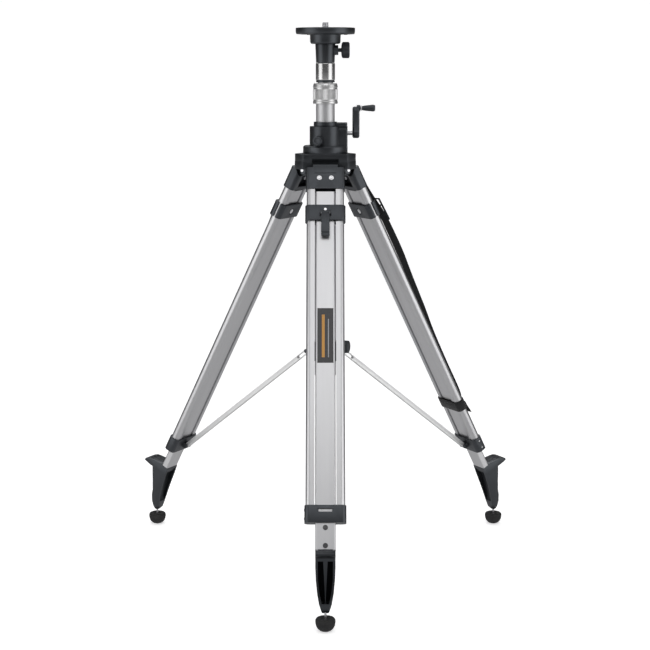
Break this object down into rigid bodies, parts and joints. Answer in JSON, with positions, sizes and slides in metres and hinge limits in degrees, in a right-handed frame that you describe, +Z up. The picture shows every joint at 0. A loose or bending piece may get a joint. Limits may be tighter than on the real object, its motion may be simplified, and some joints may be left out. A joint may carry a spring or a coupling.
{
  "type": "crank elevating tripod",
  "caption": "Aluminium tripod for a levelling instrument, with a rack and crank column, clamped upper column, telescopic folding legs, strut spreader, rubber feet and a carrying strap.",
  "frame": {"origin": "on the floor, plumb below the column axis, between the three feet", "axes": "+Z up along the column to the instrument stud, -Y towards the front leg, +X towards the crank"},
  "size_m": [1.0156, 0.88, 1.387],
  "materials": {
    "black_casting": "black powder-coated die casting",
    "black_plastic": "matt black glass-filled nylon",
    "aluminium": "satin anodised extrusion",
    "turned_aluminium": "bright turned and knurled",
    "bright_chrome": "polished",
    "steel": "zinc plated",
    "black_rubber": "matt moulded rubber",
    "webbing": "woven black polyester"
  },
  "bodies": {
    "shoulder": {"shoulder_top_plate": "black_casting", "shoulder_hinge_plate": "black_casting", "hinge_pins": "steel", "guide_tube": "aluminium", "gear_housing": "black_casting", "gear_lid": "black_casting"},
    "column": {"outer_column": "aluminium", "column_rack": "steel", "chuck_body": "turned_aluminium"},
    "chuck_nut": {"chuck_nut": "turned_aluminium"},
    "upper_column": {"inner_column": "aluminium", "spigot": "bright_chrome"},
    "head": {"head_plate": "black_casting", "head_socket": "black_casting", "instrument_stud": "steel"},
    "head_thumbscrew": {"head_thumbscrew": "black_plastic"},
    "column_lock": {"column_lock_knob": "black_plastic"},
    "crank": {"crank_shaft": "steel", "crank_arm": "black_plastic"},
    "crank_grip": {"crank_grip": "black_plastic"},
    "hub": {"spreader_hub": "black_plastic"},
    "hub_knob": {"hub_knob": "black_plastic"},
    "front_leg": {"front_leg_head": "black_plastic", "front_head_screws": "steel", "front_leg_rails": "aluminium", "front_leg_bracket": "black_plastic"},
    "front_slide": {"front_slide_section": "aluminium", "front_clamp_outer": "black_plastic", "front_clamp_inner": "black_plastic", "front_slide_steel": "steel", "front_foot_shoe": "black_casting"},
    "front_lever": {"front_clamp_lever": "black_plastic"},
    "front_pad": {"front_foot_pad": "black_rubber"},
    "front_strut": {"front_strut": "aluminium"},
    "left_leg": {"left_leg_head": "black_plastic", "left_head_screws": "steel", "left_leg_rails": "aluminium", "left_leg_bracket": "black_plastic"},
    "left_slide": {"left_slide_section": "aluminium", "left_clamp_outer": "black_plastic", "left_clamp_inner": "black_plastic", "left_slide_steel": "steel", "left_foot_shoe": "black_casting"},
    "left_lever": {"left_clamp_lever": "black_plastic"},
    "left_pad": {"left_foot_pad": "black_rubber"},
    "left_strut": {"left_strut": "aluminium"},
    "right_leg": {"right_leg_head": "black_plastic", "right_head_screws": "steel", "right_leg_rails": "aluminium", "right_leg_bracket": "black_plastic", "carry_strap": "webbing", "strap_buckle": "black_plastic"},
    "right_slide": {"right_slide_section": "aluminium", "right_clamp_outer": "black_plastic", "right_clamp_inner": "black_plastic", "right_slide_steel": "steel", "right_foot_shoe": "black_casting"},
    "right_lever": {"right_clamp_lever": "black_plastic"},
    "right_pad": {"right_foot_pad": "black_rubber"},
    "right_strut": {"right_strut": "aluminium"}
  },
  "joints": [
    {"name": "column_lift", "type": "slide", "parent": "shoulder", "child": "column", "axis": [0, 0, 1], "range_m": [0, 0.4]},
    {"name": "chuck_turn", "type": "hinge", "parent": "column", "child": "chuck_nut", "pos_m": [0, 0, 1.207], "axis": [0, 0, 1], "range_deg": [0, 120]},
    {"name": "upper_column_slide", "type": "slide", "parent": "column", "child": "upper_column", "axis": [0, 0, 1], "range_m": [0, 0.35]},
    {"name": "head_turn", "type": "hinge", "parent": "upper_column", "child": "head", "pos_m": [0, 0, 1.31], "axis": [0, 0, 1], "continuous": true},
    {"name": "thumbscrew_turn", "type": "hinge", "parent": "head", "child": "head_thumbscrew", "pos_m": [0.05, 0, 1.318], "axis": [1, 0, 0], "range_deg": [0, 720]},
    {"name": "column_lock_turn", "type": "hinge", "parent": "shoulder", "child": "column_lock", "pos_m": [-0.0171, -0.04698, 1.094], "axis": [-0.342, -0.9397, 0], "range_deg": [0, 720]},
    {"name": "crank_turn", "type": "hinge", "parent": "shoulder", "child": "crank", "pos_m": [0.06, 0.031, 1.11], "axis": [-1, 0, 0], "range_deg": [0, 2547]},
    {"name": "grip_spin", "type": "hinge", "parent": "crank", "child": "crank_grip", "pos_m": [0.105, 0.031, 1.173], "axis": [1, 0, 0], "continuous": true},
    {"name": "hub_slide", "type": "slide", "parent": "shoulder", "child": "hub", "axis": [0, 0, 1], "range_m": [0, 0.0785]},
    {"name": "hub_knob_turn", "type": "hinge", "parent": "hub", "child": "hub_knob", "pos_m": [0.0483, -0.01294, 0.563], "axis": [0.9659, -0.2588, 0], "range_deg": [0, 720]},
    {"name": "front_leg_fold", "type": "hinge", "parent": "shoulder", "child": "front_leg", "pos_m": [0, -0.045, 1.018], "axis": [1, 0, 0], "range_deg": [0, 24]},
    {"name": "front_leg_extend", "type": "slide", "parent": "front_leg", "child": "front_slide", "axis": [0, -0.4648, -0.8854], "range_m": [0, 0.7]},
    {"name": "front_lever_flip", "type": "hinge", "parent": "front_slide", "child": "front_lever", "pos_m": [0, -0.13903, 0.9228], "axis": [-1, 0, 0], "range_deg": [0, 110]},
    {"name": "front_pad_turn", "type": "hinge", "parent": "front_slide", "child": "front_pad", "pos_m": [0, -0.55, 0.02], "axis": [0, 0, 1], "continuous": true},
    {"name": "front_strut_turn", "type": "hinge", "parent": "front_leg", "child": "front_strut", "pos_m": [0, -0.444, 0.239], "axis": [1, 0, 0], "range_deg": [0, 24]},
    {"name": "left_leg_fold", "type": "hinge", "parent": "shoulder", "child": "left_leg", "pos_m": [-0.03897, 0.0225, 1.018], "axis": [-0.5, -0.866, 0], "range_deg": [0, 24]},
    {"name": "left_leg_extend", "type": "slide", "parent": "left_leg", "child": "left_slide", "axis": [-0.4026, 0.2324, -0.8854], "range_m": [0, 0.7]},
    {"name": "left_lever_flip", "type": "hinge", "parent": "left_slide", "child": "left_lever", "pos_m": [-0.1204, 0.06952, 0.9228], "axis": [0.5, 0.866, 0], "range_deg": [0, 110]},
    {"name": "left_pad_turn", "type": "hinge", "parent": "left_slide", "child": "left_pad", "pos_m": [-0.47631, 0.275, 0.02], "axis": [0, 0, 1], "continuous": true},
    {"name": "left_strut_turn", "type": "hinge", "parent": "left_leg", "child": "left_strut", "pos_m": [-0.38452, 0.222, 0.239], "axis": [-0.5, -0.866, 0], "range_deg": [0, 24]},
    {"name": "right_leg_fold", "type": "hinge", "parent": "shoulder", "child": "right_leg", "pos_m": [0.03897, 0.0225, 1.018], "axis": [-0.5, 0.866, 0], "range_deg": [0, 24]},
    {"name": "right_leg_extend", "type": "slide", "parent": "right_leg", "child": "right_slide", "axis": [0.4026, 0.2324, -0.8854], "range_m": [0, 0.55]},
    {"name": "right_lever_flip", "type": "hinge", "parent": "right_slide", "child": "right_lever", "pos_m": [0.1204, 0.06952, 0.9228], "axis": [0.5, -0.866, 0], "range_deg": [0, 110]},
    {"name": "right_pad_turn", "type": "hinge", "parent": "right_slide", "child": "right_pad", "pos_m": [0.47631, 0.275, 0.02], "axis": [0, 0, 1], "continuous": true},
    {"name": "right_strut_turn", "type": "hinge", "parent": "right_leg", "child": "right_strut", "pos_m": [0.38452, 0.222, 0.239], "axis": [-0.5, 0.866, 0], "range_deg": [0, 24]}
  ],
  "couplings": [
    {"joint": "crank_turn", "follows": "column_lift", "rad_per_m": 111.11},
    {"joint": "hub_slide", "follows": "front_leg_fold", "m_per_rad": 0.18621},
    {"joint": "front_strut_turn", "follows": "front_leg_fold", "ratio": 0.9777},
    {"joint": "left_leg_fold", "follows": "front_leg_fold", "ratio": 1},
    {"joint": "left_strut_turn", "follows": "front_leg_fold", "ratio": 0.9777},
    {"joint": "right_leg_fold", "follows": "front_leg_fold", "ratio": 1},
    {"joint": "right_strut_turn", "follows": "front_leg_fold", "ratio": 0.9777}
  ]
}
